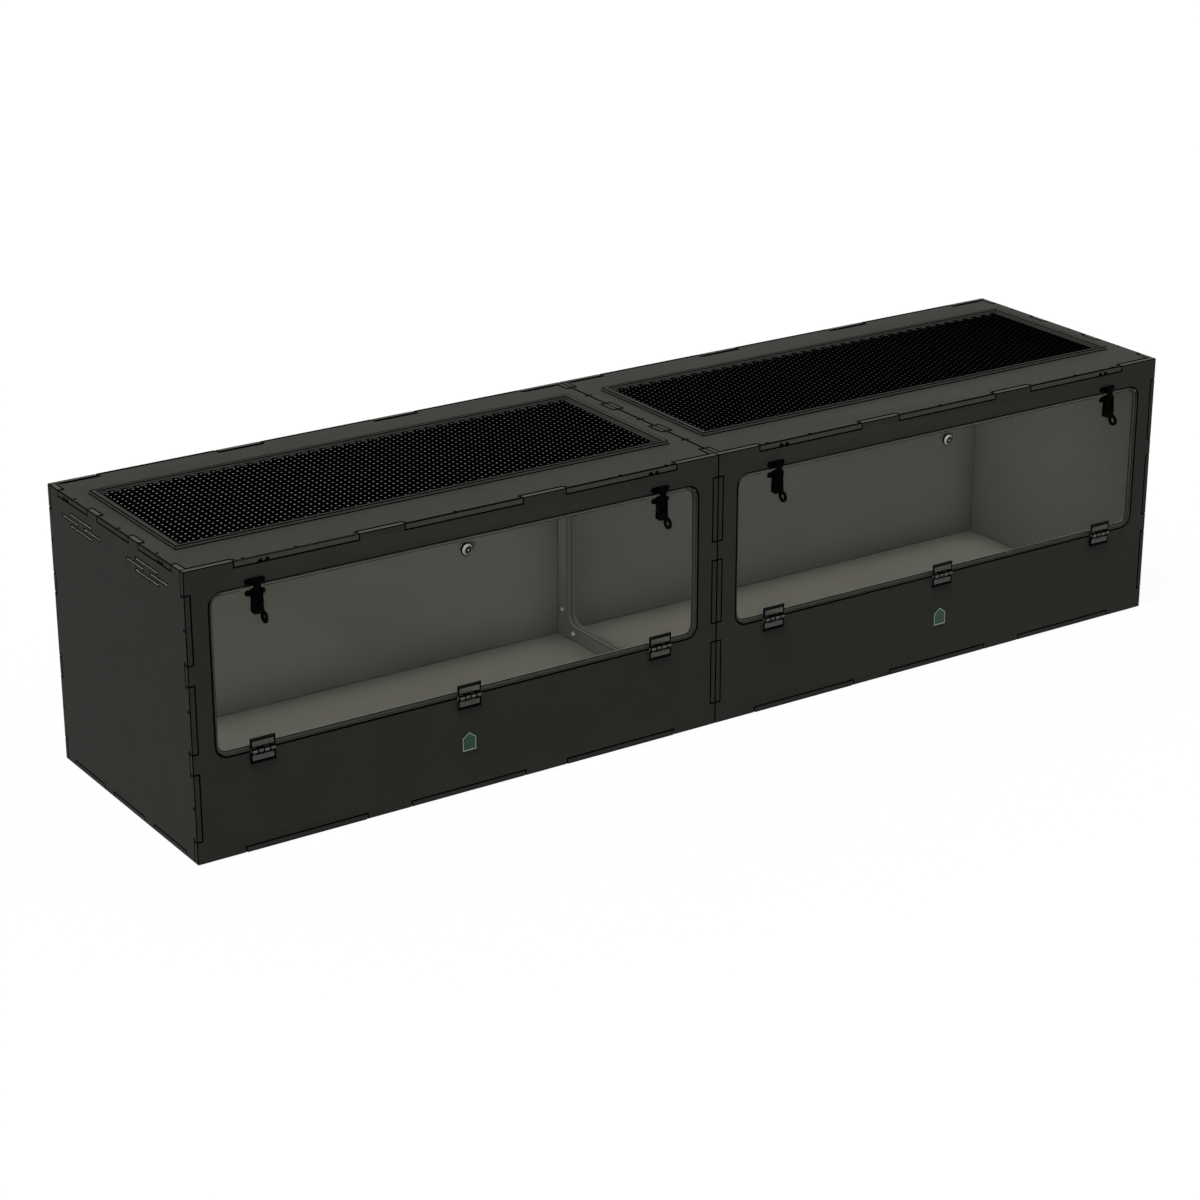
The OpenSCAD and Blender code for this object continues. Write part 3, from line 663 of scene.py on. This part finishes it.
# %% Doors
# painted reflection: the pale base colour at a small alpha stands in for the reflection of pale
# surroundings
clear, tree, shader = start_finish("clear_acrylic", (0.86, 0.87, 0.83), 0.12, specular=0.5)
shader.inputs["Alpha"].default_value = 0.015
vary_roughness(tree, shader, noise(tree, 3, 2), 0.08, 0.16)
rim, tree, shader = start_finish("clear_acrylic_rim", (0.025, 0.025, 0.022), 0.5, specular=0.02)
vary_colour(tree, shader, noise(tree, 80, 2), (0.022, 0.022, 0.020), (0.028, 0.028, 0.025))
# painted light: the upper rim is painted paler because it faces the light
upper_rim, tree, shader = start_finish("clear_acrylic_upper_rim", (0.35, 0.35, 0.32), 0.4,
                                       specular=0.1)
vary_colour(tree, shader, noise(tree, 80, 2), (0.33, 0.33, 0.30), (0.37, 0.37, 0.34))

CLEAR, RIM, UPPER_RIM, DOOR_EDGE = range(4)
for side in SIDES:
    node = f"{side}_door"
    bm = merged_copy(node)
    for face in bm.faces:
        broad = abs(face.normal.y) > 0.99
        face.material_index = CLEAR if broad else UPPER_RIM if face.normal.z > 0.5 else RIM
    ease(bm, 0.0004, DOOR_EDGE)
    new_piece(bm, f"{side}_clear_door", (clear, rim, upper_rim, eased), body_of(node),
              (node,))
print("doors: 2")

# %% [markdown]
# ## Hinges
# Each door turns on three cast hinges. The leaves are thick, with a slope along the free
# edge, and dark grey. The gaps between the knuckles are what makes a hinge read as a hinge,
# so the eased edges are nearly black, and the knuckles' ends get the same near-black finish
# as painted shade in the gaps. Each leaf also has a narrow painted dark line inside its rim,
# and a painted shadow behind it, where it meets the sheet. The leaf on the frame shows a
# little more light, so its grey is painted one step lighter, as painted light.

# %% Hinges
def hinge_grey(name, base):
    """Cast grey with a faint grain."""
    material, tree, shader = start_finish(name, base, 0.5, 0.0, 0.08)
    vary_colour(tree, shader, noise(tree, 140, 3), scaled(base, 0.9), scaled(base, 1.1))
    roughen(tree, shader, noise(tree, 1500, 2), 0.00006)
    return material


# painted light: the frame leaf's grey is a lighter copy of the door leaf's grey
greys = {"frame_leaf": hinge_grey("frame_leaf_grey", (0.150, 0.149, 0.138)),
         "door_leaf": hinge_grey("door_leaf_grey", (0.106, 0.105, 0.097))}

HINGE_EASE, HINGE_START, HINGE_LINE = 0.0014, 0.0013, 0.0014
SHADOW = 0.0015         # half the width of the dark strip behind a leaf's edge
BEHIND = 0.0012         # and how far behind the leaf's face it lies


def gap_shadow(node, faced, half):
    """Painted shadow: dark strips behind a leaf's three free edges, where it meets the sheet under
    it.
    """
    low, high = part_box(node)
    y = faced.calc_center_median().y + BEHIND
    near = [v.co.z for v in faced.verts]
    near, far, way = (min(near), high.z, 1) if half == "door_leaf" else (max(near), low.z, -1)
    out = SHADOW

    def quad(x0, x1, z0, z1):
        z0, z1 = sorted((z0, z1))
        return [Vector((x, y, z)) for x, z in ((x0, z0), (x1, z0), (x1, z1), (x0, z1))]

    return [quad(low.x - out, low.x + out, near, far + way * out),
            quad(high.x - out, high.x + out, near, far + way * out),
            quad(low.x - out, high.x + out, far - way * out, far + way * out)]


for side in SIDES:
    for i in (1, 2, 3):
        for half in ("frame_leaf", "door_leaf"):
            node = f"{side}_hinge_{i}_{half}"
            bm = merged_copy(node)
            faced = max((f for f in bm.faces if f.normal.y < -0.99), key=lambda f: f.calc_area())
            level = faced.calc_center_median().y
            # painted shade: faces of the knuckles in front of the leaf, such as their ends, get the
            # near-black finish
            for face in bm.faces:
                on_knuckle = face.calc_center_median().y < level - 0.0004
                if on_knuckle and face.normal.y > -0.85:
                    face.material_index = 1
            strips = rim_strips(bm, 1, level, HINGE_START, lambda inward: HINGE_LINE)
            strips += gap_shadow(node, faced, half)
            ease(bm, HINGE_EASE, 1)
            lay(bm, strips, 1)
            new_piece(bm, node + "_cast", (greys[half], eased), body_of(node),
                      (node,))
print("hinge leaves: 12")

# %% [markdown]
# ## Latches
# The toggle latches are steel with black paint. Their edges catch a little light, so the
# copies get a fine chamfer in the same paint instead of a dark line. Paint is thickest low
# down, where it ran, so the lever's handle and the eye for a padlock below it grow by about
# a millimetre along their normals.

# %% Latches
paint, tree, shader = start_finish("black_paint", (0.0015, 0.0015, 0.0015), 0.5, specular=0.01)
vary_colour(tree, shader, noise(tree, 90, 3), (0.001, 0.001, 0.001), (0.002, 0.002, 0.002))
vary_roughness(tree, shader, noise(tree, 220, 3), 0.45, 0.6)
roughen(tree, shader, noise(tree, 1600, 2), 0.00004)

PAINT_EASE = 0.0003
PAINT_BUILD = 0.0011        # how much the paint thickens a part low down
THICK_BELOW = {"lever": 0.026, "base": 0.024}      # height over the part's lowest point
for side in SIDES:
    for i in (1, 2):
        for part in ("keeper", "base", "lever", "hook"):
            node = f"{side}_latch_{i}_{part}"
            bm = merged_copy(node)
            ease(bm, PAINT_EASE, 0)
            if part in THICK_BELOW:
                bm.normal_update()
                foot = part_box(node)[0].z + THICK_BELOW[part]
                for vert in bm.verts:
                    if vert.co.z < foot:
                        vert.co += vert.normal * PAINT_BUILD
            new_piece(bm, node + "_painted", (paint,), body_of(node), (node,))
print("latch pieces: 16")

# %% [markdown]
# ## Locks, bolts and pins
# The locks have a chromed body with a round keyway; behind the door the nut and the cam are
# plain steel. A mirror-like metal in a white room would be plain white, so the chrome here
# is a satin grey with a dark line along its edges. Its dome gets a lighter copy of that grey
# as a painted highlight, the ring round the keyway is painted black as painted shade, and
# the post in the keyway is painted bright as a painted highlight; the rims and sides of the
# bolts and nuts get the same painted highlight. Where a solid already has its real look,
# such as the nut, the cam and the pins, the CAD node stays and only gets a finish. A thin
# dark ring of painted shade lies on the door round each lock's head, and each panel pin that
# shows from outside gets a small dark disc of painted shade over its end.

# %% Hardware helpers
def dress(node, material):
    """Gives a CAD node that stays one finish all over."""
    slots = frame["nodes"][node].data.materials
    slots.clear()
    slots.append(material)
    for face in frame["nodes"][node].data.polygons:
        face.material_index = 0


def outlined(node, faces, width, pick):
    """A copy with dark eased edges; pick chooses the finish of each face."""
    bm = merged_copy(node)
    for face in bm.faces:
        face.material_index = pick(face)
    ease(bm, width, len(faces))
    new_piece(bm, node + "_outlined", (*faces, eased), body_of(node), (node,))


print("helpers ready: dress, outlined")

# %% Hardware finishes
chrome, tree, shader = start_finish("chrome", (0.15, 0.147, 0.133), 0.45, 0.0, 0.3)
vary_roughness(tree, shader, noise(tree, 400, 3), 0.4, 0.5)
vary_colour(tree, shader, noise(tree, 160, 2), (0.14, 0.137, 0.124), (0.16, 0.157, 0.142))

bolt_head, tree, shader = start_finish("bolt_head", (0.26, 0.255, 0.23), 0.45, 0.0, 0.3)
vary_roughness(tree, shader, noise(tree, 400, 3), 0.4, 0.5)
vary_colour(tree, shader, noise(tree, 160, 2), (0.24, 0.235, 0.21), (0.28, 0.275, 0.25))

# painted highlight: a lighter copy of the chrome for domes, rims and sides
painted_highlight, tree, shader = start_finish("painted_highlight_chrome", (0.34, 0.32, 0.275), 0.4, 0.0, 0.2)
vary_colour(tree, shader, noise(tree, 160, 2), (0.32, 0.30, 0.26), (0.36, 0.34, 0.29))

# painted highlight: the post in the keyway
bright, tree, shader = start_finish("keyway_post", (0.8, 0.79, 0.74), 0.4, 0.0, 0.3)
vary_colour(tree, shader, noise(tree, 300, 2), (0.77, 0.76, 0.71), (0.83, 0.82, 0.77))

steel, tree, shader = start_finish("plain_steel", (0.10, 0.10, 0.094), 0.5, 0.0, 0.1)
vary_colour(tree, shader, noise(tree, 180, 3, stretch=(1, 1, 6)), (0.09, 0.09, 0.085),
            (0.11, 0.11, 0.104))
vary_roughness(tree, shader, noise(tree, 500, 2), 0.44, 0.58)
print("hardware finishes:", *(m.name for m in (chrome, bolt_head, painted_highlight, bright, steel)))

# %% Locks and bolts
POST_R = 0.003      # the post in the keyway is bright within this radius


def lock_finish(side, part):
    """The flat front keeps its finish, the dome is a painted highlight,
    the keyway's ring is painted shade and its post a painted highlight.
    """
    low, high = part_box(f"{side}_lock_body")
    x, z = (low.x + high.x) / 2, (low.z + high.z) / 2

    def pick(face):
        if face.normal.y < -0.9:
            reach = max(math.hypot(v.co.x - x, v.co.z - z) for v in face.verts)
            return 0 if part == "body" else 2 if reach > POST_R else 3
        return 1 if face.normal.y < -0.2 else 2

    return pick


def shade_ring(side):
    """Painted shade: a thin dark ring on the door round the lock's head."""
    low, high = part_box(f"{side}_lock_body")
    x, z, r = (low.x + high.x) / 2, (low.z + high.z) / 2, (high.x - low.x) / 2
    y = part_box(f"{side}_door")[0].y
    bm = bmesh.new()
    rings = []
    inner, outer, front = r - 0.001, r + 0.002, y - 0.0001
    for reach, level in ((inner, y), (inner, front), (outer, front), (outer, y)):
        rings.append([bm.verts.new((x + reach * math.cos(math.pi * k / 16), level,
                                    z + reach * math.sin(math.pi * k / 16))) for k in range(32)])
    for n in range(4):
        one, other = rings[n], rings[(n + 1) % 4]
        for k in range(32):
            bm.faces.new((one[k - 1], other[k - 1], other[k], one[k]))
    bmesh.ops.recalc_face_normals(bm, faces=bm.faces)
    return bm


for side in SIDES:
    for part, width, slot in (("body", 0.0011, "lock_chrome"), ("plug", 0.0004, "plain_steel")):
        outlined(f"{side}_lock_{part}", (chrome, painted_highlight, eased, bright), width,
                 lock_finish(side, part))
    new_piece(shade_ring(side), f"{side}_lock_shade_ring", (eased,), body_of(f"{side}_door"))
    dress(f"{side}_lock_nut", steel)
    dress(f"{side}_lock_cam", steel)
# the flat ends of bolts and nuts keep the bolt-head grey; the rest gets the painted highlight
for node in ("joining_bolts", "joining_nuts"):
    outlined(node, (bolt_head, painted_highlight), 0.0007,
             lambda face: 0 if abs(face.normal.x) > 0.9 else 1)
dress("hinge_pins", steel)
print("locks: 2, bolts and nuts outlined")

# %% Panel pins
SHADE_DISC_R = 0.0038

pin_black, tree, shader = start_finish("pin_black", (0.004, 0.004, 0.004), 0.6, specular=0.0)
vary_colour(tree, shader, noise(tree, 500, 2), (0.003, 0.003, 0.003), (0.006, 0.006, 0.006))
dress("panel_pins", pin_black)


def solids_of(node):
    """Centre and half size of each separate solid of a node."""
    bm = merged_copy(node)
    left, found = set(bm.verts), []
    while left:
        island, front = set(), [next(iter(left))]
        while front:
            vert = front.pop()
            if vert in left:
                left.remove(vert)
                island.add(vert)
                front += [edge.other_vert(vert) for edge in vert.link_edges]
        low = [min(v.co[k] for v in island) for k in range(3)]
        high = [max(v.co[k] for v in island) for k in range(3)]
        found.append(([(a + b) / 2 for a, b in zip(low, high)],
                      [(b - a) / 2 for a, b in zip(low, high)]))
    bm.free()
    return found


def painted_shade_discs():
    """Painted shade: a dark disc on the surface over each pin's end, where a countersink would be.
    """
    boxes = [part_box(f"{side}_{kind}") for side in SIDES for kind in AXIS]
    low = [min(b[0][k] for b in boxes) for k in range(3)]
    high = [max(b[1][k] for b in boxes) for k in range(3)]
    bm = bmesh.new()
    for centre, half in solids_of("panel_pins"):
        k = max(range(3), key=lambda n: half[n])
        end = low[k] if centre[k] - low[k] < high[k] - centre[k] else high[k]
        outside = -1 if end == low[k] else 1
        if abs(centre[k] - end) > 0.02 or (k == 2 and outside < 0):
            continue
        i, j = [n for n in range(3) if n != k]
        rings = []
        for level in (end + outside * 0.0001, end - outside * 0.0002):
            rings.append([])
            for step in range(16):
                co = [0, 0, 0]
                co[i] = centre[i] + SHADE_DISC_R * math.cos(math.pi * step / 8)
                co[j] = centre[j] + SHADE_DISC_R * math.sin(math.pi * step / 8)
                co[k] = level
                rings[-1].append(bm.verts.new(co))
        upper, lower = rings
        bm.faces.new(upper)
        bm.faces.new(lower[::-1])
        for step in range(16):
            bm.faces.new((upper[step - 1], upper[step], lower[step], lower[step - 1]))
    bmesh.ops.recalc_face_normals(bm, faces=bm.faces)
    print("pin countersinks:", len(bm.faces) // 18)
    return bm


new_piece(painted_shade_discs(), "pin_painted_shade_discs", (eased,), body_of("panel_pins"))

# %% [markdown]
# ## Badges
# A small plate sits below each door. It carries nothing but a plain raised rim in pale
# green on a dark green field.

# %% Badges
field, tree, shader = start_finish("badge_field", (0.012, 0.06, 0.03), 0.35, specular=0.3)
vary_colour(tree, shader, noise(tree, 200, 2), (0.009, 0.05, 0.025), (0.016, 0.07, 0.036))
raised, tree, shader = start_finish("badge_rim", (0.30, 0.42, 0.32), 0.35, specular=0.3)
vary_colour(tree, shader, noise(tree, 200, 2), (0.26, 0.38, 0.28), (0.34, 0.46, 0.36))
for side in SIDES:
    node = f"{side}_badge"
    bm = merged_copy(node)
    front = min(v.co.y for v in bm.verts)
    for face in bm.faces:
        face.material_index = 1 if face.calc_center_median().y < front + 0.0002 else 0
    ease(bm, 0.0002, 1)
    new_piece(bm, node + "_plate", (field, raised), body_of(node), (node,))
print("badges: 2")

# %% [markdown]
# ## Floor, light and world
# The floor and the world look white to the camera and in reflections, but light the object
# gently: a white room would wash out a black box. The key light is a soft sun from high on
# the left, so the top is lightest, the left side comes next and the front is darkest. It
# hardly reaches the inside, so three weak, narrow lamps light each box: one under the
# screen for the floor, one at the door for the back wall and one across for the end wall.
# With one lamp per wall, each wall's level is set by one number.

# %% Floor and world
def white_to_eyes(tree, lit, seen):
    """Mixes two shaders: seen for camera, glossy and transmission rays, lit for the rest."""
    path = tree.nodes.new("ShaderNodeLightPath")
    total = None
    for name in ("Is Camera Ray", "Is Glossy Ray", "Is Transmission Ray"):
        if total is None:
            total = path.outputs[name]
            continue
        add = tree.nodes.new("ShaderNodeMath")
        add.operation = "MAXIMUM"
        tree.links.new(total, add.inputs[0])
        tree.links.new(path.outputs[name], add.inputs[1])
        total = add.outputs[0]
    mix = tree.nodes.new("ShaderNodeMixShader")
    tree.links.new(total, mix.inputs["Fac"])
    tree.links.new(lit, mix.inputs[1])
    tree.links.new(seen, mix.inputs[2])
    return mix.outputs[0]


world = bpy.data.worlds.new("studio")
bpy.context.scene.world = world
world.use_nodes = True
tree = world.node_tree
ambient = tree.nodes["Background"]
ambient.inputs["Color"].default_value = (1, 1, 1, 1)
ambient.inputs["Strength"].default_value = 0.3
white = tree.nodes.new("ShaderNodeBackground")
white.inputs["Color"].default_value = (1, 1, 1, 1)
white.inputs["Strength"].default_value = 1.0
tree.links.new(white_to_eyes(tree, ambient.outputs[0], white.outputs[0]),
               tree.nodes["World Output"].inputs["Surface"])

bpy.ops.mesh.primitive_plane_add(size=80, location=(0, 0, -0.0005))
floor = bpy.context.object
floor.name = "floor"
paper = bpy.data.materials.new("pale_floor")
paper.use_nodes = True
tree = paper.node_tree
lit = tree.nodes["Principled BSDF"]
lit.inputs["Base Color"].default_value = (0.36, 0.36, 0.36, 1)
lit.inputs["Roughness"].default_value = 0.9
lit.inputs["Specular IOR Level"].default_value = 0.0
glow = tree.nodes.new("ShaderNodeEmission")
glow.inputs["Strength"].default_value = 0.9
shade = tree.nodes.new("ShaderNodeBsdfDiffuse")
shade.inputs["Color"].default_value = (0.12, 0.12, 0.12, 1)
both = tree.nodes.new("ShaderNodeAddShader")
tree.links.new(glow.outputs[0], both.inputs[0])
tree.links.new(shade.outputs[0], both.inputs[1])
tree.links.new(white_to_eyes(tree, lit.outputs[0], both.outputs[0]),
               tree.nodes["Material Output"].inputs["Surface"])
floor.data.materials.append(paper)
print("floor and world ready")

# %% Lamps
def aim(obj, direction):
    """Turns a lamp so that it shines along a direction."""
    obj.rotation_mode = "QUATERNION"
    obj.rotation_quaternion = Vector(direction).to_track_quat("-Z", "Y")


key_data = bpy.data.lights.new("key", "SUN")
key_data.energy = 1.9
key_data.angle = math.radians(25)
key = bpy.data.objects.new("key", key_data)
bpy.context.scene.collection.objects.link(key)
aim(key, (0.187, 0.14, -0.757))


def inside_lamp(name, place, size, direction, power, spread=36):
    """A soft box that only lights what lies in front of it and isn't seen itself."""
    data = bpy.data.lights.new(name, "AREA")
    data.shape = "RECTANGLE"
    data.size, data.size_y = size
    data.color = (1.0, 0.99, 0.91)
    data.energy = power
    data.spread = math.radians(spread)
    lamp = bpy.data.objects.new(name, data)
    bpy.context.scene.collection.objects.link(lamp)
    lamp.location = place
    aim(lamp, direction)
    lamp.visible_camera = False
    lamp.visible_glossy = False
    lamp.visible_transmission = False


POWERS = {"left": (4.0, 2.25, 1.9), "right": (4.2, 1.95, 0.4)}      # above, front, across
for side, (above, front, across) in POWERS.items():
    low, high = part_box(f"{side}_floor_panel")
    wide, deep, tall, middle = high.x - low.x - 0.04, 0.56, 0.56, (low.x + high.x) / 2
    inside_lamp(f"{side}_lamp_above", (middle, 0, 0.583), (wide, deep), (0, 0, -1), above, 20)
    inside_lamp(f"{side}_lamp_front", (middle, -0.284, 0.3), (wide, tall), (0, 1, 0),
                front, 24)
    inside_lamp(f"{side}_lamp_across", (low.x + 0.02, 0, 0.3), (tall, deep), (1, 0, 0), across)
print("lamps: key and three in each box")

# %% [markdown]
# ## Camera
# A long lens from the front left, a little above the boxes, keeps the verticals calm. The
# camera's back direction gives its rotation, so nothing tilts.

# %% Camera
lens = bpy.data.cameras.new("camera")
lens.sensor_width = 36
lens.lens = 91.036
lens.clip_end = 200
camera = bpy.data.objects.new("camera", lens)
bpy.context.scene.collection.objects.link(camera)
camera.location = (-3.4836, -5.07279, 2.60108)
camera.rotation_mode = "QUATERNION"
azimuth, elevation = math.radians(-33.767), math.radians(21.451)
back = Vector((math.sin(azimuth) * math.cos(elevation), -math.cos(azimuth) * math.cos(elevation),
               math.sin(elevation)))
camera.rotation_quaternion = back.to_track_quat("Z", "Y")
bpy.context.scene.camera = camera
bpy.context.scene.view_settings.view_transform = "Standard"
print("camera at", tuple(round(c, 3) for c in camera.location))

# %% [markdown]
# ## Sizes
# Dressing hardly changes how big the object is: only paint and thin lines stand proud, by
# about a millimetre at most.

# %% Finish
print("scene dressed")
